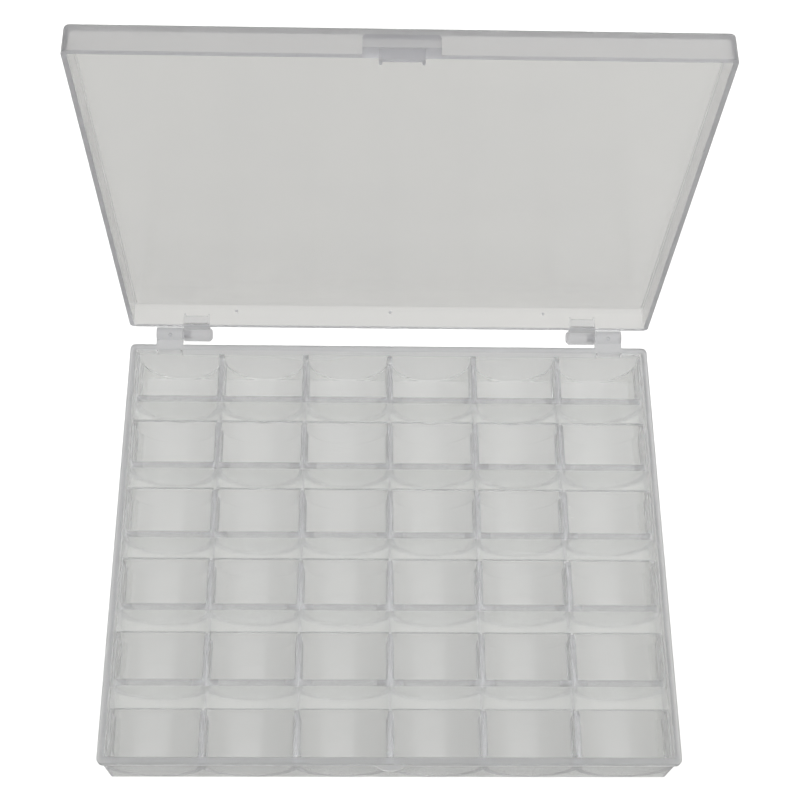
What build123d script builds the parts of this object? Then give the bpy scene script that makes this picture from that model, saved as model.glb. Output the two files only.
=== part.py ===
from build123d import *
import math
import os

# Bobbin storage box in clear moulded plastic, lying open.
# Millimetres, +Z up. The origin is the middle of the base's underside, with the hinge at the
# back (+Y) and the latch at the front (-Y).
# The lid's sizes are those of the closed box: lid planes carry them to the open lid.

# Cradles, one for each bobbin
columns = 6
rows = 6
cradle_radius = 11.15
cradle_depth = 12.6
divider = 1.56
front_plate = 1.6
strip_width = 6.2
end_wall = 0.4
side_wall = 0.7
cradle_shell = 1.4
cradle_floor = 1.2
deck_thickness = 1.2

# Base walls
base_height = 18.6
wall = 1.1
wall_lean = 1.4
lip_width = 0.7
lip_height = 2.2
deck_drop = 2.8
corner_radius = 1.5
rim_edge = 0.3

# Lid
lid_height = 7.6
lid_wall = 1.3
lid_top = 1.2
lid_edge = 0.8
rim_gap = 0.2
open_angle = 90.3

# Hinges
hinge_offset = 3.3
hinge_drop = 0.3
knuckle_radius = 2.0
knuckle_inset = 7.2
base_knuckle_length = 7.4
lid_knuckle_length = 8.0
knuckle_gap = 0.3
knuckle_chamfer = 0.7
pin_radius = 0.9
pin_depth = 5.5
pin_clearance = 0.05

# Latch
boss_width = 17.0
boss_height = 3.7
boss_proud = 2.4
boss_corner = 0.9
tongue_width = 10.0
tongue_length = 3.3
tongue_thickness = 0.85
tongue_rib_width = 0.7
tongue_rib_height = 1.0
tongue_rib_depth = 0.9
tongue_root_gap = 0.05
ledge_width = 8.0
ledge_thickness = 1.4
ledge_clearance = 0.15

# Sizes that follow from the ones above
column_pitch = 2 * cradle_radius + divider
row_pitch = cradle_depth + front_plate + strip_width
inner_width = columns * column_pitch - divider + 2 * side_wall
inner_depth = (rows - 1) * row_pitch + cradle_depth + 2 * end_wall
width = inner_width + 2 * (wall + lip_width)
depth = inner_depth + 2 * (wall + lip_width)
deck_top = base_height - deck_drop
cradle_centre = cradle_floor + cradle_radius
lid_rim = base_height + rim_gap
lid_ceiling = lid_rim + lid_height - lid_top
hinge_y = depth / 2 + hinge_offset
hinge_z = base_height - hinge_drop
base_knuckle_end = width / 2 - knuckle_inset - base_knuckle_length
lid_knuckle_end = base_knuckle_end - knuckle_gap
ledge_proud = boss_proud - tongue_thickness - ledge_clearance
ledge_radius = (ledge_width**2 / 4 + ledge_proud**2) / (2 * ledge_proud)

swing_cos = math.cos(math.radians(open_angle))
swing_sin = math.sin(math.radians(open_angle))


def lid_point(x, y, z):
    """Where a point of the closed lid lies on the open one."""
    back, up = y - hinge_y, z - hinge_z
    return (x, hinge_y + back * swing_cos + up * swing_sin, hinge_z - back * swing_sin + up * swing_cos)


def lid_level(z):
    """The lid's horizontal plane at height z of the closed box."""
    return Plane(origin=lid_point(0, 0, z), x_dir=(1, 0, 0), z_dir=(0, swing_sin, swing_cos))


def lid_front(y, z):
    """The plane that faces the front of the closed box, with its origin at y and z."""
    return Plane(origin=lid_point(0, y, z), x_dir=(1, 0, 0), z_dir=(0, -swing_cos, swing_sin))


def base_side(x):
    """The plane across the hinge at x, with its origin on the pin's axis."""
    return Plane(origin=(x, hinge_y, hinge_z), x_dir=(0, 1, 0), z_dir=(1, 0, 0))


def lid_side(x):
    """The same plane, turned with the open lid."""
    return Plane(origin=(x, hinge_y, hinge_z), x_dir=(0, swing_cos, -swing_sin), z_dir=(1, 0, 0))


def write(part, name):
    part.label = name
    export_step(part, f"parts/{name}.step")


def cradle_row(number):
    """A row of cradles, counted from the back, with the strip of deck in front of it.

    All but the rear row run on under the strip behind them, up to the plate of the row before.
    """
    rear = inner_depth / 2 - end_wall - number * row_pitch
    front = rear - cradle_depth
    front_skin = end_wall if number == rows - 1 else front_plate
    if number == 0:
        spans = [(rear + end_wall, end_wall + cradle_depth + front_skin, deck_top)]
        hollow_rear = rear
    else:
        spans = [
            (rear, cradle_depth + front_skin, deck_top),
            (rear + strip_width, strip_width, deck_top - deck_thickness),
        ]
        hollow_rear = rear + strip_width
    with BuildPart() as row:
        # the shells, trimmed to the base's inner walls and underside
        for back, length, top in spans:
            with BuildSketch(Plane.XZ.offset(-back)):
                with Locations((0, cradle_centre)):
                    with GridLocations(column_pitch, 0, columns, 1):
                        Circle(cradle_radius + cradle_shell)
                with Locations((0, cradle_centre)):
                    Rectangle(inner_width, top - cradle_centre, align=(Align.CENTER, Align.MIN))
                Rectangle(inner_width, top, align=(Align.CENTER, Align.MIN), mode=Mode.INTERSECT)
            extrude(amount=length)
        if number < rows - 1:
            with BuildSketch(Plane.XY.offset(deck_top)):
                with Locations((0, front - front_skin)):
                    Rectangle(inner_width, strip_width, align=(Align.CENTER, Align.MAX))
            extrude(amount=-deck_thickness)
        # the hollows, round below and straight above
        with BuildSketch(Plane.XZ.offset(-hollow_rear)):
            with Locations((0, cradle_centre)):
                with GridLocations(column_pitch, 0, columns, 1):
                    Circle(cradle_radius)
                    Rectangle(2 * cradle_radius, deck_top - cradle_centre, align=(Align.CENTER, Align.MIN))
        extrude(amount=hollow_rear - front, mode=Mode.SUBTRACT)
    return row.part


def base_knuckle(side):
    """The base's hinge knuckle on one side, with its blind bore for the pin."""
    with BuildPart() as knuckle:
        with BuildSketch(base_side(side * base_knuckle_end)):
            Circle(knuckle_radius)
            with Locations((-hinge_offset, hinge_drop)):
                Rectangle(hinge_offset, lip_height, align=(Align.MIN, Align.MAX))
        extrude(amount=side * base_knuckle_length)
        with BuildSketch(base_side(side * base_knuckle_end)):
            Circle(pin_radius)
        extrude(amount=side * pin_depth, mode=Mode.SUBTRACT)
    return knuckle.part


def lid_knuckle(side):
    """The lid's knuckle beside it, with a leaf to the lid's rear wall and a running bore."""
    leaf_foot = lid_rim - hinge_z
    with BuildPart() as knuckle:
        with BuildSketch(lid_side(side * lid_knuckle_end)):
            Circle(knuckle_radius)
        extrude(amount=-side * lid_knuckle_length)
        inner_end = knuckle.faces().sort_by(Axis.X)[0 if side > 0 else -1]
        chamfer(inner_end.edges(), knuckle_chamfer)
        with BuildSketch(lid_side(side * lid_knuckle_end)):
            with Locations((-hinge_offset, leaf_foot)):
                Rectangle(hinge_offset, knuckle_radius - leaf_foot, align=(Align.MIN, Align.MIN))
        extrude(amount=-side * (lid_knuckle_length - knuckle_chamfer))
        with BuildSketch(lid_side(side * lid_knuckle_end)):
            Circle(pin_radius + pin_clearance)
        extrude(amount=-side * (pin_depth + knuckle_gap), mode=Mode.SUBTRACT)
    return knuckle.part


def hinge_pin(side):
    """The pin, fixed in the base's knuckle and free to turn in the lid's."""
    with BuildPart() as pin:
        with BuildSketch(base_side(side * (base_knuckle_end + pin_depth))):
            Circle(pin_radius)
        extrude(amount=-side * (2 * pin_depth + knuckle_gap))
    return pin.part


os.makedirs("parts", exist_ok=True)

# Base: the outer wall, leaning in towards its foot, under a rim that stands out
with BuildPart() as base_wall_frame:
    with BuildSketch(Plane.XY.offset(base_height - lip_height)):
        RectangleRounded(width - 2 * lip_width, depth - 2 * lip_width, corner_radius - lip_width)
    extrude(amount=-(base_height - lip_height), taper=wall_lean)
    with BuildSketch(Plane.XY.offset(base_height - lip_height)):
        RectangleRounded(width, depth, corner_radius)
    extrude(amount=lip_height)
    fillet(base_wall_frame.faces().sort_by(Axis.Z)[-1].edges(), rim_edge)
    with BuildSketch():
        Rectangle(inner_width, inner_depth)
    extrude(amount=base_height, mode=Mode.SUBTRACT)
write(base_wall_frame.part, "base_wall_frame")

for number in range(rows):
    write(cradle_row(number), f"cradle_row_{number + 1}")

# The half-moon ledge that the latch's tongue closes over
with BuildPart() as front_catch_ledge:
    with BuildSketch(Plane.XY.offset(base_height - lip_height)):
        with Locations((0, -depth / 2 - ledge_proud + ledge_radius)):
            Circle(ledge_radius)
        with Locations((0, -depth / 2)):
            Rectangle(2 * ledge_radius, 2 * ledge_radius, align=(Align.CENTER, Align.MIN), mode=Mode.SUBTRACT)
    extrude(amount=ledge_thickness)
write(front_catch_ledge.part, "front_catch_ledge")

for side, name in ((-1, "left"), (1, "right")):
    write(base_knuckle(side), f"{name}_base_knuckle")
    write(lid_knuckle(side), f"{name}_lid_knuckle")
    write(hinge_pin(side), f"{name}_hinge_pin")

# Lid: a plain panel on a low wall
with BuildPart() as lid_wall_frame:
    with BuildSketch(lid_level(lid_rim)):
        RectangleRounded(width, depth, corner_radius)
        RectangleRounded(
            width - 2 * lid_wall, depth - 2 * lid_wall, corner_radius - lid_wall, mode=Mode.SUBTRACT
        )
    extrude(amount=lid_height - lid_top)
write(lid_wall_frame.part, "lid_wall_frame")

with BuildPart() as lid_panel:
    with BuildSketch(lid_level(lid_ceiling)):
        RectangleRounded(width, depth, corner_radius)
    extrude(amount=lid_top)
    outer_face = lid_panel.faces().sort_by(Axis((0, 0, 0), lid_level(0).z_dir))[-1]
    fillet(outer_face.edges(), lid_edge)
write(lid_panel.part, "lid_panel")

# Latch: a boss on the lid's front wall, and the tongue that bends out from its foot
with BuildPart() as latch_boss:
    with BuildSketch(lid_front(-depth / 2, lid_rim)) as boss_face:
        Rectangle(boss_width, boss_height, align=(Align.CENTER, Align.MIN))
        fillet(boss_face.vertices().sort_by(Axis.Y)[-2:], boss_corner)
    extrude(amount=boss_proud)
write(latch_boss.part, "latch_boss")

with BuildPart() as latch_tongue:
    with BuildSketch(lid_front(-depth / 2 - boss_proud, lid_rim - tongue_root_gap)):
        Rectangle(tongue_width, tongue_length, align=(Align.CENTER, Align.MAX))
    extrude(amount=-tongue_thickness)
    with BuildSketch(lid_front(-depth / 2 - boss_proud + tongue_thickness, lid_rim - tongue_root_gap)):
        with Locations((0, -tongue_length)):
            with GridLocations(tongue_width - tongue_rib_width, 0, 2, 1):
                Rectangle(tongue_rib_width, tongue_rib_height, align=(Align.CENTER, Align.MIN))
    extrude(amount=-tongue_rib_depth)
write(latch_tongue.part, "latch_tongue")
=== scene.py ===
# Bobbin storage box in clear, slightly frosted plastic, lying open on a white ground.
# Each moulding is one mesh here, so that no seam shows through it. Sizes are in millimetres
# and are those of the closed box; the lid is swung open once it is made.
import math
import bmesh
import bpy
from mathutils import Matrix, Vector


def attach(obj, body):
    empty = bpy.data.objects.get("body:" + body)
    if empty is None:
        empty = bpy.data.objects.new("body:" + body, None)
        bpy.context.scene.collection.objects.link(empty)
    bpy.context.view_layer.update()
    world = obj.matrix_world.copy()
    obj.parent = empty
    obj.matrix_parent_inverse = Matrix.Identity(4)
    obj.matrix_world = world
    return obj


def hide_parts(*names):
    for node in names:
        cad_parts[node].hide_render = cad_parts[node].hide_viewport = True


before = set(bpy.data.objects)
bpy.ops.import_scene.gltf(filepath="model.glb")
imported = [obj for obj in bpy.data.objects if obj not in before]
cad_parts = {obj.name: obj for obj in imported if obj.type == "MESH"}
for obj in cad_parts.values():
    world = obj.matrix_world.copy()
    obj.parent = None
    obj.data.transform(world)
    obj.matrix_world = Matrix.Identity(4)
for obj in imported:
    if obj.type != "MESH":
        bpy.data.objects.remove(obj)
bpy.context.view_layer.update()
print("frame loaded:", len(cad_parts), "nodes")

mm = 0.001
fullTurn = 2 * math.pi
overrun = 1.0  # how far a cutting tool runs past the surface that it cuts
overlap = 0.5  # how far a joined shape runs into its neighbour
leastCorner = 0.02  # a corner is never quite sharp
weldReach = 0.002  # corners nearer than this become one
midRing = 0.3  # how far in a rounding's middle ring lies, as a share of the rounding


# Mesh helpers

def newPiece(name, bm):
    mesh = bpy.data.meshes.new(name)
    bmesh.ops.recalc_face_normals(bm, faces=bm.faces)
    bm.to_mesh(mesh)
    bm.free()
    piece = bpy.data.objects.new(name, mesh)
    bpy.context.scene.collection.objects.link(piece)
    return piece


def loft(bm, rings):
    # joins rings of equal length into a closed skin with a flat cap at each end
    loops = [[bm.verts.new(Vector(point) * mm) for point in ring] for ring in rings]
    count = len(loops[0])
    for low, high in zip(loops, loops[1:]):
        for i in range(count):
            k = (i + 1) % count
            bm.faces.new((low[i], low[k], high[k], high[i]))
    bm.faces.new(list(reversed(loops[0])))
    bm.faces.new(loops[-1])


def roundedRing(width, depth, corner, z, steps=7, centre=(0.0, 0.0)):
    # a rounded rectangle at one height, its points in order around it
    corner = max(corner, leastCorner)
    ring = []
    for quarter, (sx, sy) in enumerate(((1, 1), (-1, 1), (-1, -1), (1, -1))):
        for step in range(steps + 1):
            angle = (quarter + step / steps) * fullTurn / 4
            ring.append((centre[0] + sx * (width / 2 - corner) + corner * math.cos(angle),
                         centre[1] + sy * (depth / 2 - corner) + corner * math.sin(angle), z))
    return ring


def block(bm, low, high, edge=0.0):
    # a box between two corners, its edges rounded
    made = bmesh.ops.create_cube(bm, size=1.0)["verts"]
    for vert in made:
        vert.co = Vector([(low[i] if vert.co[i] < 0 else high[i]) * mm for i in range(3)])
    if edge:
        edges = list({e for vert in made for e in vert.link_edges})
        bmesh.ops.bevel(bm, geom=edges, offset=edge * mm, segments=3, profile=0.5, affect="EDGES")


def carve(piece, tool, operation):
    # one boolean step, applied at once; the tool is used up
    change = piece.modifiers.new("carve", "BOOLEAN")
    change.operation = operation
    change.solver = "MANIFOLD"
    change.object = tool
    shaped = bpy.data.meshes.new_from_object(piece.evaluated_get(bpy.context.evaluated_depsgraph_get()))
    piece.modifiers.clear()
    old = piece.data
    piece.data = shaped
    bpy.data.meshes.remove(old)
    bpy.data.objects.remove(tool)


def polish(piece, angle=38):
    # smooth shading over the roundings, flat faces kept flat
    bm = bmesh.new()
    bm.from_mesh(piece.data)
    bmesh.ops.remove_doubles(bm, verts=bm.verts, dist=weldReach * mm)
    bmesh.ops.dissolve_degenerate(bm, edges=bm.edges, dist=weldReach * mm)
    bm.to_mesh(piece.data)
    bm.free()
    piece.data.shade_smooth()
    piece.data.set_sharp_from_angle(angle=math.radians(angle))
    weighted = piece.modifiers.new("flat faces stay flat", "WEIGHTED_NORMAL")
    weighted.keep_sharp = True
    weighted.weight = 60


def quarterSteps(count):
    return [step / count * fullTurn / 4 for step in range(count + 1)]


# Base moulding

baseShape = {
    "width": 146.6, "depth": 119.0, "height": 18.6, "corner": 1.5,
    "wall": 1.1, "lipWidth": 0.7, "lipHeight": 2.2, "lean": 1.4,
    "innerCorner": 0.4, "deckDrop": 2.8, "deckThickness": 1.2,
    "rimEdge": 0.3, "footEdge": 0.15, "deckFillet": 0.15, "lipRoot": 0.25,
    "lipRootCurve": ((-0.07, -0.06), (-0.2, 0.0)),  # inset from the lip's width, and rise from its foot
    "lipFootEdge": ((0.15, 0.0), (0.04, 0.05), (0.0, 0.17)),  # inset from the outside, and the same rise
}
baseShape["innerWidth"] = baseShape["width"] - 2 * (baseShape["wall"] + baseShape["lipWidth"])
baseShape["innerDepth"] = baseShape["depth"] - 2 * (baseShape["wall"] + baseShape["lipWidth"])
baseShape["deckTop"] = baseShape["height"] - baseShape["deckDrop"]
baseShape["lipFoot"] = baseShape["height"] - baseShape["lipHeight"]

cradles = {
    "columns": 6, "rows": 6, "radius": 11.15, "depth": 12.6, "floor": 1.2, "shell": 1.4,
    "divider": 1.56, "frontPlate": 1.6, "stripWidth": 6.2, "endWall": 0.4,
    "flare": 0.55, "flareReach": 1.3, "throat": 0.95, "throatLap": 0.2, "fillet": 0.45,
    "mouthEdge": 0.22, "mouthInset": 0.02, "mouthLap": 0.03, "arcSteps": 44, "valleySteps": 20,
}
cradles["pitchX"] = 2 * cradles["radius"] + cradles["divider"]
cradles["pitchY"] = cradles["depth"] + cradles["frontPlate"] + cradles["stripWidth"]
cradles["centre"] = cradles["floor"] + cradles["radius"]
cradles["rearFace"] = baseShape["innerDepth"] / 2 - cradles["endWall"]


def outerWall():
    # leans in towards its foot, under a lip that stands out
    s, rings = baseShape, []
    lean = math.tan(math.radians(s["lean"]))

    def ring(inset, z):
        rings.append(roundedRing(s["width"] - 2 * inset, s["depth"] - 2 * inset, s["corner"] - inset, z))

    foot = s["lipWidth"] + s["lipFoot"] * lean
    ring(foot + s["footEdge"], 0.0)
    ring(foot + midRing * s["footEdge"], midRing * s["footEdge"])
    ring(foot - s["footEdge"] * lean, s["footEdge"])
    ring(s["lipWidth"] + s["lipRoot"] * lean, s["lipFoot"] - s["lipRoot"])
    for inset, rise in s["lipRootCurve"]:
        ring(s["lipWidth"] + inset, s["lipFoot"] + rise)
    for inset, rise in s["lipFootEdge"]:
        ring(inset, s["lipFoot"] + rise)
    for angle in quarterSteps(4):
        ring(s["rimEdge"] * (1 - math.cos(angle)), s["height"] - s["rimEdge"] * (1 - math.sin(angle)))
    bm = bmesh.new()
    loft(bm, rings)
    return newPiece("base_moulding", bm)


def recessTool():
    # the room above the deck, with a fillet at its foot and a rounded rim
    s, rings = baseShape, []

    def ring(inset, z):
        rings.append(roundedRing(s["innerWidth"] - 2 * inset, s["innerDepth"] - 2 * inset,
                                 s["innerCorner"] - inset, z))

    for angle in quarterSteps(3):
        ring(s["deckFillet"] * (1 - math.sin(angle)), s["deckTop"] + s["deckFillet"] * (1 - math.cos(angle)))
    for angle in quarterSteps(4):
        ring(-s["rimEdge"] * (1 - math.cos(angle)), s["height"] - s["rimEdge"] * (1 - math.sin(angle)))
    ring(-s["rimEdge"], s["height"] + overrun)
    bm = bmesh.new()
    loft(bm, rings)
    return newPiece("recess", bm)


def cradleSpots():
    # the middle and the rear face of each pocket, row by row from the back
    c = cradles
    for row in range(c["rows"]):
        rear = c["rearFace"] - row * c["pitchY"]
        for column in range(c["columns"]):
            yield (column - (c["columns"] - 1) / 2) * c["pitchX"], rear


def cradleProfile(x, inset, top, wider=0.0):
    # a pocket's outline across the box: round below and straight above
    c = cradles
    radius = c["radius"] - inset
    points = [(x - radius - wider, top)]
    for step in range(c["arcSteps"] + 1):
        angle = (0.5 + 0.5 * step / c["arcSteps"]) * fullTurn
        points.append((x + (radius + wider) * math.cos(angle), c["centre"] + radius * math.sin(angle)))
    return points + [(x + radius + wider, top)]


def hollowsTool():
    # round-bottomed pockets with filleted ends: the rear row ends flush with the wall,
    # and the others flare out to the strip behind them
    c, top = cradles, baseShape["deckTop"] + overrun
    ends = [(c["fillet"] * (1 - math.sin(a)), c["fillet"] * (1 - math.cos(a))) for a in quarterSteps(4)]
    bm = bmesh.new()
    for x, rear in cradleSpots():
        stops = [(inset, rear - c["depth"] + out) for inset, out in ends]
        if rear == c["rearFace"]:
            stops.append((0.0, baseShape["innerDepth"] / 2))
        else:
            stops += [(0.0, rear - c["flareReach"]), (-c["flare"], rear)]
        outlines = [(y, cradleProfile(x, max(inset, 0.0), top, max(-inset, 0.0))) for inset, y in stops]
        loft(bm, [[(px, y, pz) for px, pz in outline] for y, outline in outlines])
    return newPiece("hollows", bm)


def throatsTool(odd):
    # each pocket runs on under the strip of deck behind it, up to the plate in front of the next row,
    # and is wide enough there to meet its neighbours
    c, top = cradles, baseShape["deckTop"] - baseShape["deckThickness"]
    bm = bmesh.new()
    for number, (x, rear) in enumerate(cradleSpots()):
        if rear < c["rearFace"] and number % 2 == odd:
            plate = rear + c["stripWidth"]
            stops = [(0.0, rear - c["throatLap"])]
            stops += [(c["fillet"] * (1 - math.cos(a)), plate - c["fillet"] * (1 - math.sin(a)))
                      for a in quarterSteps(4)]
            outlines = [(y, cradleProfile(x, inset, top, c["throat"])) for inset, y in stops]
            loft(bm, [[(px, y, pz) for px, pz in outline] for y, outline in outlines])
    return newPiece("throats", bm)


def evenThroats():
    return throatsTool(0)


def oddThroats():
    return throatsTool(1)


def mouthsTool():
    # rounds the upper edge of each pocket
    c, s = cradles, baseShape
    edge, lap, rings = c["mouthEdge"], c["mouthLap"], []

    def ring(out, corner, z):
        rings.append(roundedRing(2 * (c["radius"] + out), c["depth"] + 2 * out, corner, z, 4, middle))

    bm = bmesh.new()
    for x, rear in cradleSpots():
        middle = (x, min(rear, s["innerDepth"] / 2 - edge - lap) - c["depth"] / 2)
        rings.clear()
        ring(-c["mouthInset"], c["fillet"], s["deckTop"] - edge - lap)
        for angle in quarterSteps(3):
            out = edge * (1 - math.cos(angle))
            ring(out, c["fillet"] + out, s["deckTop"] - edge * (1 - math.sin(angle)))
        ring(edge, c["fillet"] + edge, s["deckTop"] + overrun)
        loft(bm, rings)
    return newPiece("mouths", bm)


def valleysTool():
    # the room under the base between the columns of cradle shells, open below
    c, s = cradles, baseShape
    outer = c["radius"] + c["shell"]
    flat = math.sqrt(outer ** 2 - c["centre"] ** 2)
    half = s["innerWidth"] / 2
    columns = [(k - (c["columns"] - 1) / 2) * c["pitchX"] for k in range(c["columns"])]

    def arc(centre, side, start):
        # down one side of a shell, from the distance start off its middle to its flat foot
        low, high = math.asin(start / outer), math.asin(flat / outer)
        angles = [low + (high - low) * k / c["valleySteps"] for k in range(c["valleySteps"] + 1)]
        return [(centre + side * outer * math.sin(a), max(c["centre"] - outer * math.cos(a), 0.0))
                for a in angles]

    bm = bmesh.new()
    for k in range(c["columns"] + 1):
        if k == 0:
            right = arc(columns[0], -1, half + columns[0])
            outline = [(-half, -overrun)] + right + [(columns[0] - flat, -overrun)]
        elif k == c["columns"]:
            left = arc(columns[-1], 1, half - columns[-1])
            outline = [(half, -overrun)] + left + [(columns[-1] + flat, -overrun)]
        else:
            left = arc(columns[k - 1], 1, c["pitchX"] / 2)
            right = arc(columns[k], -1, c["pitchX"] / 2)
            outline = ([(columns[k - 1] + flat, -overrun)] + list(reversed(left)) + right[1:]
                       + [(columns[k] - flat, -overrun)])
        loft(bm, [[(px, y, pz) for px, pz in outline] for y in (-s["innerDepth"] / 2, s["innerDepth"] / 2)])
    return newPiece("valleys", bm)


baseMoulding = outerWall()
for tool in (recessTool, valleysTool, hollowsTool, evenThroats, oddThroats, mouthsTool):
    carve(baseMoulding, tool(), "DIFFERENCE")
print("base moulding carved:", len(baseMoulding.data.polygons), "faces")


# Hinge knuckles

hinge = {
    "openAngle": 90.3, "offset": 3.3, "drop": 0.3, "radius": 2.0, "inset": 7.2,
    "baseLength": 7.4, "lidLength": 8.0, "gap": 0.3, "rimGap": 0.2,
    "pinRadius": 0.9, "pinDepth": 1.7, "pinRoot": 0.5, "boreEnd": 0.3, "play": 0.05,
    "endChamfer": 0.7, "endEdge": 0.15, "lidEndEdge": 0.12, "armLap": 0.15, "armEdge": 0.12,
    "ribWidth": 0.5, "ribProud": 0.45, "ribDrop": 2.5, "ribLap": 0.6, "ribEdge": 0.1,
    "leafLap": 0.6, "leafEdge": 0.1, "gussetWidth": 0.55, "gussetReach": 1.6, "gussetLap": 0.4,
    "gussetLip": 0.35, "gussetRise": 2.6, "webReach": 0.96, "webRise": 1.9, "webInset": 0.2,
    "barrelSteps": 56, "rodSteps": 40,
}
hinge["wallFace"] = baseShape["depth"] / 2
hinge["axisY"] = hinge["wallFace"] + hinge["offset"]
hinge["axisZ"] = baseShape["height"] - hinge["drop"]
hinge["baseOuter"] = baseShape["width"] / 2 - hinge["inset"]
hinge["baseInner"] = hinge["baseOuter"] - hinge["baseLength"]
hinge["lidOuter"] = hinge["baseInner"] - hinge["gap"]
hinge["lidInner"] = hinge["lidOuter"] - hinge["lidLength"]
hinge["lidRim"] = baseShape["height"] + hinge["rimGap"]
hinge["leafTop"] = hinge["axisZ"] + hinge["radius"]


def hingeRing(x, radius, steps):
    turns = [k / steps * fullTurn for k in range(steps)]
    return [(x, hinge["axisY"] + radius * math.cos(a), hinge["axisZ"] + radius * math.sin(a)) for a in turns]


def barrel(bm, low, high, lowEdge, highEdge):
    # a turned bar along X at the hinge's axis, its two ends chamfered or rounded
    h, rings = hinge, []
    for x, edge, direction in ((low, lowEdge, 1), (high, highEdge, -1)):
        pair = [(h["radius"] - edge, x), (h["radius"], x + direction * edge)]
        rings += pair if direction > 0 else reversed(pair)
    loft(bm, [hingeRing(x, radius, h["barrelSteps"]) for radius, x in rings])


def rod(bm, low, high, radius):
    # a peg, or the bore that it turns in
    loft(bm, [hingeRing(x, radius, hinge["rodSteps"]) for x in (low, high)])


def part(name, build, *values):
    bm = bmesh.new()
    build(bm, *values)
    return newPiece(name, bm)


def addBaseKnuckles():
    # each on an arm behind the wall, with two ribs inside the wall and a peg for the lid
    h, s = hinge, baseShape
    wallInside = s["innerDepth"] / 2
    for side in (-1, 1):
        low, high = sorted((side * h["baseInner"], side * h["baseOuter"]))
        carve(baseMoulding, part("arm", block, (low, wallInside + h["armLap"], s["lipFoot"]),
                                 (high, h["axisY"], s["height"]), h["armEdge"]), "UNION")
        carve(baseMoulding, part("barrel", barrel, low, high, h["endEdge"], h["endEdge"]), "UNION")
        for start in (low, high - h["ribWidth"]):
            ribLow = (start, wallInside - h["ribProud"], s["height"] - h["ribDrop"])
            ribHigh = (start + h["ribWidth"], wallInside + h["ribLap"], s["height"])
            carve(baseMoulding, part("rib", block, ribLow, ribHigh, h["ribEdge"]), "UNION")
        near, far = sorted((side * (h["lidOuter"] - h["pinDepth"]), side * (h["baseInner"] + h["pinRoot"])))
        carve(baseMoulding, part("peg", rod, near, far, h["pinRadius"]), "UNION")


ledge = {"radius": 6.414, "proud": 1.38, "width": 8.0, "thickness": 1.4, "edge": 0.2, "steps": 24}


def addLedge():
    # the half-moon under the front rim, which the latch closes over
    e, foot = ledge, baseShape["lipFoot"]
    front, top = -baseShape["depth"] / 2, foot + e["thickness"]
    reach = math.acos((e["radius"] - e["proud"]) / e["radius"])
    arc = [-fullTurn / 4 + reach * (2 * k / e["steps"] - 1) for k in range(e["steps"] + 1)]
    rings = []
    for inset, z in ((e["edge"], foot), (0.0, foot + e["edge"]), (0.0, top - e["edge"]), (e["edge"], top)):
        radius, centre = e["radius"] - inset, front - e["proud"] + e["radius"]
        rings.append([(radius * math.cos(a), centre + radius * math.sin(a), z) for a in arc]
                     + [(side * e["width"] / 2, front + overlap, z) for side in (1, -1)])
    bm = bmesh.new()
    loft(bm, rings)
    carve(baseMoulding, newPiece("ledge", bm), "UNION")


addBaseKnuckles()
addLedge()
print("base knuckles and ledge joined")


# Lid moulding, made closed

lidShape = {
    "width": baseShape["width"], "depth": baseShape["depth"], "corner": baseShape["corner"], "height": 7.6,
    "wall": 1.3, "panel": 1.2, "edge": 0.8, "innerCorner": 0.4, "innerFillet": 0.7, "rimEdge": 0.15,
}
lidShape["rim"] = hinge["lidRim"]
lidShape["top"] = lidShape["rim"] + lidShape["height"]
latch = {
    "bossWidth": 17.0, "bossHeight": 3.7, "proud": 2.4, "bossCorner": 0.9, "bossEdge": 0.25,
    "cornerSteps": 6, "width": 10.0, "length": 3.3, "thickness": 0.85, "rootGap": 0.05,
    "ribWidth": 0.7, "ribHeight": 1.0, "ribDepth": 0.9, "ribLap": 0.2, "ribEdge": 0.12, "edge": 0.15,
}


def lidShell():
    s, rings = lidShape, []

    def ring(inset, z):
        rings.append(roundedRing(s["width"] - 2 * inset, s["depth"] - 2 * inset, s["corner"] - inset, z))

    for angle in quarterSteps(3):
        ring(s["rimEdge"] * (1 - math.sin(angle)), s["rim"] + s["rimEdge"] * (1 - math.cos(angle)))
    for angle in quarterSteps(6):
        ring(s["edge"] * (1 - math.cos(angle)), s["top"] - s["edge"] * (1 - math.sin(angle)))
    bm = bmesh.new()
    loft(bm, rings)
    return newPiece("lid_moulding", bm)


def trayTool():
    # the room inside the lid
    s, rings = lidShape, []

    def ring(inset, z):
        out = inset + s["wall"]
        rings.append(roundedRing(s["width"] - 2 * out, s["depth"] - 2 * out, s["innerCorner"] - inset, z))

    ring(-s["rimEdge"], s["rim"] - overrun)
    for angle in reversed(quarterSteps(3)):
        ring(-s["rimEdge"] * (1 - math.cos(angle)), s["rim"] + s["rimEdge"] * (1 - math.sin(angle)))
    for angle in quarterSteps(5):
        ring(s["innerFillet"] * (1 - math.cos(angle)),
             s["top"] - s["panel"] - s["innerFillet"] * (1 - math.sin(angle)))
    bm = bmesh.new()
    loft(bm, rings)
    return newPiece("tray", bm)


def latchBoss():
    # a block on the front wall, its outer face rounded at both upper corners
    v, s = latch, lidShape
    rings, front = [], -s["depth"] / 2 - v["proud"]
    middle = midRing * v["bossEdge"]
    for inset, y in ((v["bossEdge"], front), (middle, front + middle), (0.0, front + v["bossEdge"]),
                     (0.0, -s["depth"] / 2 + overlap)):
        half, foot = v["bossWidth"] / 2 - inset, s["rim"] + inset
        top, corner = s["rim"] + v["bossHeight"] - inset, v["bossCorner"] - inset
        outline = [(half, y, foot)]
        for side, start in ((1, 0.0), (-1, fullTurn / 4)):
            outline += [(side * (half - corner) + corner * math.cos(start + a), y,
                         top - corner + corner * math.sin(start + a)) for a in quarterSteps(v["cornerSteps"])]
        rings.append(outline + [(-half, y, foot)])
    bm = bmesh.new()
    loft(bm, rings)
    return newPiece("boss", bm)


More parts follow.
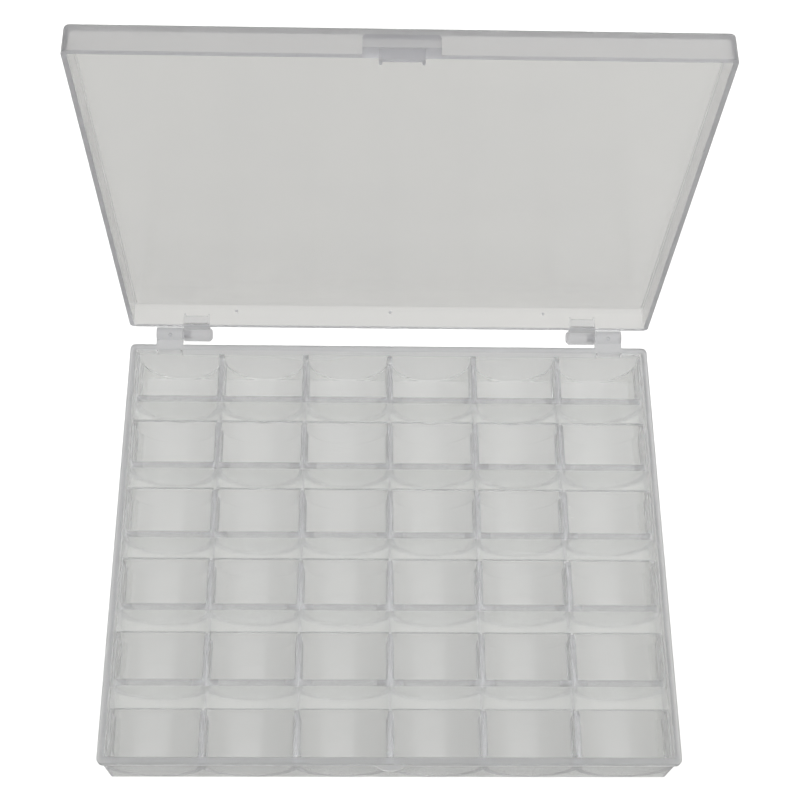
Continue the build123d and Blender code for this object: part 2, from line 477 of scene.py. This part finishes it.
def gusset(bm, start, end, reach, rise):
    # from one x to another: stands on the leaf and leans on the lid's rear wall
    h = hinge
    foot, top = h["leafTop"] - h["gussetLap"], h["leafTop"] + rise
    inside = h["wallFace"] - overlap
    profile = [(inside, foot), (h["wallFace"] + reach, foot), (h["wallFace"] + h["gussetLip"], top),
               (inside, top)]
    loft(bm, [[(x, y, z) for y, z in profile] for x in (start, end)])


def addLidKnuckles():
    # each on a leaf from the rear wall, with a gusset at both ends of the leaf and a web between them
    h = hinge
    for side in (-1, 1):
        inner, outer = side * h["lidInner"], side * h["lidOuter"]
        edges = (h["endChamfer"], h["lidEndEdge"]) if side > 0 else (h["lidEndEdge"], h["endChamfer"])
        carve(lidMoulding, part("barrel", barrel, *sorted((inner, outer)), *edges), "UNION")
        low, high = sorted((inner + side * h["endChamfer"], outer))
        carve(lidMoulding, part("leaf", block, (low, h["wallFace"] - h["leafLap"], h["lidRim"]),
                                (high, h["axisY"], h["leafTop"]), h["leafEdge"]), "UNION")
        for start in (low, high - h["gussetWidth"]):
            carve(lidMoulding, part("gusset", gusset, start, start + h["gussetWidth"], h["gussetReach"],
                                    h["gussetRise"]), "UNION")
        carve(lidMoulding, part("web", gusset, low + h["webInset"], high - h["webInset"], h["webReach"],
                                h["webRise"]), "UNION")
        boreEnd = h["lidOuter"] - h["pinDepth"] - h["boreEnd"]
        near, far = sorted((side * (h["lidOuter"] + overrun), side * boreEnd))
        carve(lidMoulding, part("bore", rod, near, far, h["pinRadius"] + h["play"]), "DIFFERENCE")


def latchTongue():
    # a plate with a short rib inside each lower corner
    v, s = latch, lidShape
    front, root = -s["depth"] / 2 - v["proud"], s["rim"] - v["rootGap"]
    back, foot = front + v["thickness"], root - v["length"]
    tongue = part("latch_tongue_moulding", block, (-v["width"] / 2, front, foot),
                  (v["width"] / 2, back, root), v["edge"])
    for side in (-1, 1):
        x = side * (v["width"] - v["ribWidth"]) / 2
        low = (x - v["ribWidth"] / 2, front + v["ribLap"], foot)
        high = (x + v["ribWidth"] / 2, back + v["ribDepth"], foot + v["ribHeight"])
        carve(tongue, part("rib", block, low, high, v["ribEdge"]), "UNION")
    return tongue


def swingOpen(piece):
    # back about the hinge's axis, to where the lid stands in the photograph
    pivot = Vector((0, hinge["axisY"], hinge["axisZ"])) * mm
    turn = Matrix.Rotation(-math.radians(hinge["openAngle"]), 4, "X")
    piece.data.transform(Matrix.Translation(pivot) @ turn @ Matrix.Translation(-pivot))


lidMoulding = lidShell()
carve(lidMoulding, trayTool(), "DIFFERENCE")
carve(lidMoulding, latchBoss(), "UNION")
addLidKnuckles()
tongueMoulding = latchTongue()
print("lid and latch made:", len(lidMoulding.data.polygons), "faces")

# Marks that the mould leaves

marks = {
    "pinRadius": 2.0, "pinDepth": 0.07,  # each pin mark: columns off the middle, strip from the back
    "pins": ((-1, 5), (0, 3), (2, 5), (-2, 2), (1, 1)),
    "gateRadius": 0.42, "gateHeight": 0.3, "gateRise": 4.6, "gates": (-43.5, 0.0, 43.5), "gateSteps": 16,
    "dotRadius": 0.55, "dotFloor": 19.35, "dots": ((-62.2, 61.7), (62.2, 61.7)), "dotSteps": 16,
    "endHeight": 0.35, "endInset": 0.3,  # a mark's softened end, as shares of its height and radius
    "scratchWidth": 0.16, "scratchDepth": 0.05,  # each scratch: middle, length, turn in degrees
    "scratches": ((-50.5, 21.7, 2.2, -68), (-49.9, 21.9, 1.2, 40), (-2.2, 20.3, 1.8, -58),
                  (-12.3, 41.7, 5.0, 1), (-6.2, -47.0, 1.1, 80), (31.5, 42.1, 2.0, 12)),
}


def disc(bm, centre, radius, start, end, axis="Z", steps=32):
    # a short cylinder along Z or Y, softened at its end
    turns = [k / steps * fullTurn for k in range(steps)]
    edge = min(marks["endHeight"] * abs(end - start), marks["endInset"] * radius)
    rings = []
    for r, level in ((radius, start), (radius, end - math.copysign(edge, end - start)), (radius - edge, end)):
        if axis == "Z":
            rings.append([(centre[0] + r * math.cos(a), centre[1] + r * math.sin(a), level) for a in turns])
        else:
            rings.append([(centre[0] + r * math.cos(a), level, centre[1] + r * math.sin(a)) for a in turns])
    loft(bm, rings)


def addMarks():
    m, c, s = marks, cradles, baseShape
    for column, strip in m["pins"]:
        front = c["rearFace"] - (strip - 1) * c["pitchY"] - c["depth"]
        spot = (column * c["pitchX"], (front + c["rearFace"] - strip * c["pitchY"]) / 2)
        carve(baseMoulding, part("pin mark", disc, spot, m["pinRadius"], s["deckTop"] + overlap,
                                 s["deckTop"] - m["pinDepth"]), "DIFFERENCE")
    inside = lidShape["depth"] / 2 - lidShape["wall"]
    for x in m["gates"]:
        spot = (x, lidShape["rim"] + m["gateRise"])
        carve(lidMoulding, part("gate", disc, spot, m["gateRadius"], inside + m["gateHeight"],
                                inside - m["gateHeight"], "Y", m["gateSteps"]), "UNION")
    for spot in m["dots"]:
        carve(baseMoulding, part("dot", disc, spot, m["dotRadius"], hinge["leafTop"] + overlap, m["dotFloor"],
                                 "Z", m["dotSteps"]), "DIFFERENCE")
    for x, y, length, turn in m["scratches"]:
        scratch = part("scratch", block, (-length / 2, -m["scratchWidth"] / 2, -m["scratchDepth"]),
                       (length / 2, m["scratchWidth"] / 2, overlap))
        scratch.data.transform(Matrix.Translation(Vector((x, y, s["deckTop"])) * mm)
                               @ Matrix.Rotation(math.radians(turn), 4, "Z"))
        carve(baseMoulding, scratch, "DIFFERENCE")


addMarks()
for piece in (lidMoulding, tongueMoulding):
    swingOpen(piece)
for piece in (baseMoulding, lidMoulding, tongueMoulding):
    polish(piece)

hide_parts("base_wall_frame", *[f"cradle_row_{n + 1}" for n in range(cradles["rows"])],
            "front_catch_ledge", "left_base_knuckle", "right_base_knuckle", "left_hinge_pin",
            "right_hinge_pin")
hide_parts("lid_panel", "lid_wall_frame", "left_lid_knuckle", "right_lid_knuckle", "latch_boss")
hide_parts("latch_tongue")
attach(baseMoulding, "base")
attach(lidMoulding, "lid")
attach(tongueMoulding, "latch")


# Clear plastic

# a painted shade tint, greyer and bluer, is mixed into the colour wherever the thickness weight is high
plastic = {
    "tint": (0.965, 0.97, 0.955), "flowTint": (0.95, 0.955, 0.945), "paintedShadeTint": (0.6, 0.6, 0.64),
    "rough": 0.18, "roughSpread": 0.05, "shadeRough": 0.5,
    "ior": 1.45, "transmission": 0.92, "lightThrough": 0.975, "coat": 0.2, "coatRough": 0.1,
    "depthColour": (0.12, 0.13, 0.2), "depthDensity": 14.0,
    "rippleSize": 6.0, "rippleDepth": 0.02, "grainSize": 0.35, "grainDepth": 0.0015,
}
flowLines = {"size": 14.0, "stretch": (1.0, 0.18, 1.0), "contrast": 1.6, "hazeSize": 22.0}


def newMaterial(name):
    material = bpy.data.materials.new(name)
    material.use_nodes = True
    material.node_tree.nodes.clear()
    return material, material.node_tree.nodes, material.node_tree.links


def setOrLink(links, socket, value):
    if isinstance(value, bpy.types.NodeSocket):
        links.new(value, socket)
    else:
        socket.default_value = value


def calc(nodes, links, operation, first, second):
    node = nodes.new("ShaderNodeMath")
    node.operation = operation
    setOrLink(links, node.inputs[0], first)
    setOrLink(links, node.inputs[1], second)
    return node.outputs[0]


def skinAndPaintedShadeGroup():
    # what a polished mould leaves on the plastic: slow ripple, fine grain and faint flow lines; also a
    # painted shade, with the colour greyed towards a dark tint and the roughness raised by the mesh's
    # thickness weight
    group = bpy.data.node_groups.new("skinAndPaintedShade", "ShaderNodeTree")
    colour, number = "NodeSocketColor", "NodeSocketFloat"
    for name, kind in (("Tint", colour), ("Flow Tint", colour), ("Painted Shade Tint", colour), ("Roughness", number),
                       ("Roughness Spread", number), ("Shade Roughness", number), ("Ripple Size", number),
                       ("Ripple Depth", number), ("Grain Size", number), ("Grain Depth", number)):
        group.interface.new_socket(name=name, in_out="INPUT", socket_type=kind)
    for name, kind in (("Colour", colour), ("Roughness", number), ("Height", number)):
        group.interface.new_socket(name=name, in_out="OUTPUT", socket_type=kind)
    nodes, links = group.nodes, group.links
    given, out = nodes.new("NodeGroupInput"), nodes.new("NodeGroupOutput")
    place = nodes.new("ShaderNodeTexCoord").outputs["Object"]

    def noise(size, detail, stretch=(1, 1, 1)):
        mapping = nodes.new("ShaderNodeMapping")
        links.new(place, mapping.inputs["Vector"])
        mapping.inputs["Scale"].default_value = stretch
        texture = nodes.new("ShaderNodeTexNoise")
        links.new(mapping.outputs[0], texture.inputs["Vector"])
        setOrLink(links, texture.inputs["Scale"], calc(nodes, links, "DIVIDE", 1 / mm, size))
        texture.inputs["Detail"].default_value = detail
        return calc(nodes, links, "SUBTRACT", texture.outputs[0], 0.5)

    ripple = noise(given.outputs["Ripple Size"], 0.5)
    grain = noise(given.outputs["Grain Size"], 0.0)
    flow = noise(flowLines["size"], 1.0, flowLines["stretch"])
    haze = noise(flowLines["hazeSize"], 1.0)
    mix = nodes.new("ShaderNodeMix")
    mix.data_type = "RGBA"
    streak = calc(nodes, links, "MULTIPLY", flow, flowLines["contrast"])
    links.new(calc(nodes, links, "ADD", streak, 0.5), mix.inputs[0])
    links.new(given.outputs["Tint"], mix.inputs[6])
    links.new(given.outputs["Flow Tint"], mix.inputs[7])
    # painted shade: the colour is mixed towards the grey tint by the thickness weight, standing in for the
    # light lost in edge-on walls and thick parts
    shadeWeight = nodes.new("ShaderNodeAttribute")
    shadeWeight.attribute_name = "thickness"
    shadedColour = nodes.new("ShaderNodeMix")
    shadedColour.data_type = "RGBA"
    links.new(shadeWeight.outputs["Fac"], shadedColour.inputs[0])
    links.new(mix.outputs[2], shadedColour.inputs[6])
    links.new(given.outputs["Painted Shade Tint"], shadedColour.inputs[7])
    links.new(shadedColour.outputs[2], out.inputs["Colour"])
    rough = calc(nodes, links, "ADD", given.outputs["Roughness"],
                 calc(nodes, links, "MULTIPLY", haze, given.outputs["Roughness Spread"]))
    rough = calc(nodes, links, "ADD", rough,
                 calc(nodes, links, "MULTIPLY", shadeWeight.outputs["Fac"], given.outputs["Shade Roughness"]))
    links.new(rough, out.inputs["Roughness"])
    high = calc(nodes, links, "ADD", calc(nodes, links, "MULTIPLY", ripple, given.outputs["Ripple Depth"]),
                calc(nodes, links, "MULTIPLY", grain, given.outputs["Grain Depth"]))
    links.new(calc(nodes, links, "MULTIPLY", high, mm), out.inputs["Height"])
    return group


skinAndPaintedShade = skinAndPaintedShadeGroup()


def clearPlastic(name, changes):
    p = {**plastic, **changes}
    material, nodes, links = newMaterial(name)
    skinShade = nodes.new("ShaderNodeGroup")
    skinShade.node_tree = skinAndPaintedShade
    for socket, value in (("Tint", (*p["tint"], 1)), ("Flow Tint", (*p["flowTint"], 1)),
                          ("Painted Shade Tint", (*p["paintedShadeTint"], 1)), ("Roughness", p["rough"]),
                          ("Roughness Spread", p["roughSpread"]), ("Shade Roughness", p["shadeRough"]),
                          ("Ripple Size", p["rippleSize"]), ("Ripple Depth", p["rippleDepth"]),
                          ("Grain Size", p["grainSize"]), ("Grain Depth", p["grainDepth"])):
        skinShade.inputs[socket].default_value = value
    shader = nodes.new("ShaderNodeBsdfPrincipled")
    shader.inputs["IOR"].default_value = p["ior"]
    shader.inputs["Transmission Weight"].default_value = p["transmission"]
    links.new(skinShade.outputs["Colour"], shader.inputs["Base Color"])
    links.new(skinShade.outputs["Roughness"], shader.inputs["Roughness"])
    shader.inputs["Coat Weight"].default_value = p["coat"]
    shader.inputs["Coat Roughness"].default_value = p["coatRough"]
    bump = nodes.new("ShaderNodeBump")
    bump.inputs["Distance"].default_value = 1.0
    links.new(skinShade.outputs["Height"], bump.inputs["Height"])
    links.new(bump.outputs[0], shader.inputs["Normal"])
    # the plastic passes most light on to the floor and to what stands inside it
    path = nodes.new("ShaderNodeLightPath")
    passing = calc(nodes, links, "MAXIMUM", path.outputs["Is Shadow Ray"], path.outputs["Is Diffuse Ray"])
    links.new(calc(nodes, links, "SUBTRACT", 1.0, calc(nodes, links, "MULTIPLY", passing, p["lightThrough"])),
              shader.inputs["Alpha"])
    depth = nodes.new("ShaderNodeVolumeAbsorption")
    depth.inputs["Color"].default_value = (*p["depthColour"], 1)
    depth.inputs["Density"].default_value = p["depthDensity"]
    out = nodes.new("ShaderNodeOutputMaterial")
    links.new(shader.outputs[0], out.inputs["Surface"])
    links.new(depth.outputs[0], out.inputs["Volume"])
    return material


def dress(piece, material):
    piece.data.materials.clear()
    piece.data.materials.append(material)


# Painted shade at each place, from 0 to 1, kept as the thickness weight: the plastic is greyed and made
# hazier there, darkening rims, edge-on divider walls, the boss, the latch and the mould marks where light is
# lost on long paths through the plastic.
# The last two lines tell the places apart, by distance and by slope.
paintedShadeParts = {
    "rim": 0.21, "rearRim": 0.55, "outerWall": 0.0, "divider": 0.12, "baseKnuckle": 0.5, "dot": 0.9,
    "lidPanel": 0.07, "lidSide": 0.3, "lidFront": 0.6, "lidRim": 0.8, "lidKnuckle": 0.5,
    "boss": 0.9, "tongue": 0.7, "gate": 1.0,
    "near": 0.02, "markReach": 0.05, "rimReach": 0.3, "sideReach": 0.9,
    "upright": 0.3, "risen": 0.2, "flat": 0.98,
}


def markPaintedShade(piece, measure, byCorner):
    # the painted shade weight, kept on the mesh for the plastic to read, measured at each corner or at each
    # face's middle
    mesh = piece.data
    layer = mesh.attributes.new("thickness", "FLOAT", "CORNER")
    spots = [(mesh.vertices[vert].co if byCorner else face.center, face.normal)
             for face in mesh.polygons for vert in face.vertices]
    layer.data.foreach_set("value", [measure(spot / mm, normal) for spot, normal in spots])


def nearAny(x, y, middles, reach):
    return any(math.hypot(x - middleX, y - middleY) < reach for middleX, middleY in middles)


# painted shade on the base: darker on the rims, the rear rim, divider walls seen edge-on, the knuckles and
# the dots
def basePaintedShade(spot, normal):
    s, t = baseShape, paintedShadeParts
    halfWidth, halfDepth = s["innerWidth"] / 2 - t["near"], s["innerDepth"] / 2 - t["near"]
    if spot.y > s["depth"] / 2 + t["near"]:
        inDot = nearAny(spot.x, spot.y, marks["dots"], marks["dotRadius"] + t["markReach"])
        return t["dot"] if inDot and not t["upright"] < normal.z < t["flat"] else t["baseKnuckle"]
    if abs(spot.x) > halfWidth or abs(spot.y) > halfDepth:
        if spot.z < s["lipFoot"] - t["rimReach"]:
            return t["outerWall"]
        return t["rearRim"] if spot.y > halfDepth and normal.z > t["risen"] else t["rim"]
    return t["divider"] if abs(normal.z) < t["upright"] else 0.0


# painted shade on the lid and latch: darker on the rim, front wall, sides, knuckles, boss, tongue and gate
# marks
def lidPaintedShade(spot, normal):
    # the spot is turned back to the closed lid
    s, t = lidShape, paintedShadeParts
    pivot = Vector((0, hinge["axisY"], hinge["axisZ"]))
    shut = Matrix.Rotation(math.radians(hinge["openAngle"]), 3, "X") @ (spot - pivot) + pivot
    if shut.y < -s["depth"] / 2 - t["markReach"]:
        return t["boss"] if shut.z > s["rim"] - t["near"] else t["tongue"]
    if shut.y > s["depth"] / 2 + t["markReach"]:
        return t["lidKnuckle"]
    if shut.z < s["rim"] + t["rimReach"]:
        return t["lidRim"]
    gates = [(x, s["rim"] + marks["gateRise"]) for x in marks["gates"]]
    if shut.y > 0 and nearAny(shut.x, shut.z, gates, marks["gateRadius"] + t["markReach"]):
        return t["gate"]
    if shut.y < t["sideReach"] - s["depth"] / 2:
        return t["lidFront"]
    return t["lidSide"] if abs(shut.x) > s["width"] / 2 - t["sideReach"] else t["lidPanel"]


markPaintedShade(baseMoulding, basePaintedShade, True)
markPaintedShade(lidMoulding, lidPaintedShade, False)
markPaintedShade(tongueMoulding, lidPaintedShade, False)
basePlastic = clearPlastic("base_plastic", {})
lidPlastic = clearPlastic("lid_plastic", {"tint": (0.966, 0.96, 0.937), "flowTint": (0.95, 0.946, 0.928)})
dress(baseMoulding, basePlastic)
for piece in (lidMoulding, tongueMoulding):
    dress(piece, lidPlastic)
print("plastic mixed")


# Stage, light and camera

# the painted shade fade along Y, the floor's half width and the key light are in metres
studio = {
    "floorLitBack": (0.76, 0.76, 0.75), "floorShadedFront": (0.59, 0.59, 0.58), "floorShadeFade": (0.056, -0.056),
    "floorLift": 0.56, "floorGap": 0.15, "floorHalf": 4.0,
    "worldLight": 0.6, "keyPower": 7.0, "keySize": 1.8, "keyPlace": (0.35, 0.15, 0.9),
    "bounces": 24, "clearBounces": 32,  # light crosses many clear walls
}
shot = {
    "lens": 69.55, "sensor": 36.0, "clipStart": 0.01,
    "pitch": 63.223, "yaw": -3.408, "roll": 3.493, "place": (-8.746, -151.798, 403.909),
}


def floorMaterial():
    # painted shade: the floor's colour is a little darker towards the front, standing in for light falling
    # off there, as seen through the plastic; seen directly, it is lifted to white and keeps the soft shadow
    material, nodes, links = newMaterial("studio_floor")
    diffuse = nodes.new("ShaderNodeBsdfDiffuse")
    place, along = nodes.new("ShaderNodeTexCoord"), nodes.new("ShaderNodeSeparateXYZ")
    links.new(place.outputs["Object"], along.inputs[0])
    shadeFade, paintedTone = nodes.new("ShaderNodeMapRange"), nodes.new("ShaderNodeMix")
    links.new(along.outputs["Y"], shadeFade.inputs["Value"])
    shadeFade.inputs["From Min"].default_value, shadeFade.inputs["From Max"].default_value = studio["floorShadeFade"]
    paintedTone.data_type = "RGBA"
    links.new(shadeFade.outputs[0], paintedTone.inputs[0])
    paintedTone.inputs[6].default_value = (*studio["floorLitBack"], 1)
    paintedTone.inputs[7].default_value = (*studio["floorShadedFront"], 1)
    links.new(paintedTone.outputs[2], diffuse.inputs["Color"])
    path = nodes.new("ShaderNodeLightPath")
    direct = calc(nodes, links, "LESS_THAN", path.outputs["Transparent Depth"], 0.5)
    seen = calc(nodes, links, "MULTIPLY", path.outputs["Is Camera Ray"], direct)
    glow = nodes.new("ShaderNodeEmission")
    links.new(calc(nodes, links, "MULTIPLY", seen, studio["floorLift"]), glow.inputs["Strength"])
    both, out = nodes.new("ShaderNodeAddShader"), nodes.new("ShaderNodeOutputMaterial")
    links.new(diffuse.outputs[0], both.inputs[0])
    links.new(glow.outputs[0], both.inputs[1])
    links.new(both.outputs[0], out.inputs["Surface"])
    return material


def buildStudio():
    scene = bpy.context.scene
    bm = bmesh.new()
    bmesh.ops.create_grid(bm, x_segments=1, y_segments=1, size=studio["floorHalf"])
    floor = newPiece("studio_floor", bm)
    floor.location.z = -studio["floorGap"] * mm
    dress(floor, floorMaterial())
    scene.world = bpy.data.worlds.new("studio_world")
    scene.world.use_nodes = True
    nodes, links = scene.world.node_tree.nodes, scene.world.node_tree.links
    nodes.clear()
    path = nodes.new("ShaderNodeLightPath")
    sky = nodes.new("ShaderNodeBackground")
    gain = calc(nodes, links, "MULTIPLY", path.outputs["Is Camera Ray"], 1.0 - studio["worldLight"])
    links.new(calc(nodes, links, "ADD", gain, studio["worldLight"]), sky.inputs["Strength"])
    sky.inputs["Color"].default_value = (1, 1, 1, 1)
    links.new(sky.outputs[0], nodes.new("ShaderNodeOutputWorld").inputs["Surface"])
    lamp = bpy.data.lights.new("key_softbox", "AREA")
    lamp.shape, lamp.size, lamp.energy = "SQUARE", studio["keySize"], studio["keyPower"]
    key = bpy.data.objects.new("key_softbox", lamp)
    scene.collection.objects.link(key)
    key.location = studio["keyPlace"]
    key.rotation_euler = (-key.location).to_track_quat("-Z", "Y").to_euler()


def placeCamera():
    scene = bpy.context.scene
    camera = bpy.data.objects.new("camera", bpy.data.cameras.new("camera"))
    scene.collection.objects.link(camera)
    camera.data.lens = shot["lens"]
    camera.data.sensor_width = shot["sensor"]
    camera.data.clip_start = shot["clipStart"]
    camera.matrix_world = (Matrix.Translation(Vector(shot["place"]) * mm)
                           @ Matrix.Rotation(math.radians(shot["yaw"]), 4, "Z")
                           @ Matrix.Rotation(math.radians(90 - shot["pitch"]), 4, "X")
                           @ Matrix.Rotation(math.radians(shot["roll"]), 4, "Z"))
    scene.camera = camera


buildStudio()
placeCamera()
bpy.context.scene.view_settings.view_transform = "Standard"
bpy.context.scene.cycles.max_bounces = studio["bounces"]
bpy.context.scene.cycles.transmission_bounces = studio["bounces"]
bpy.context.scene.cycles.glossy_bounces = studio["bounces"]
bpy.context.scene.cycles.transparent_max_bounces = studio["clearBounces"]
print("studio ready")
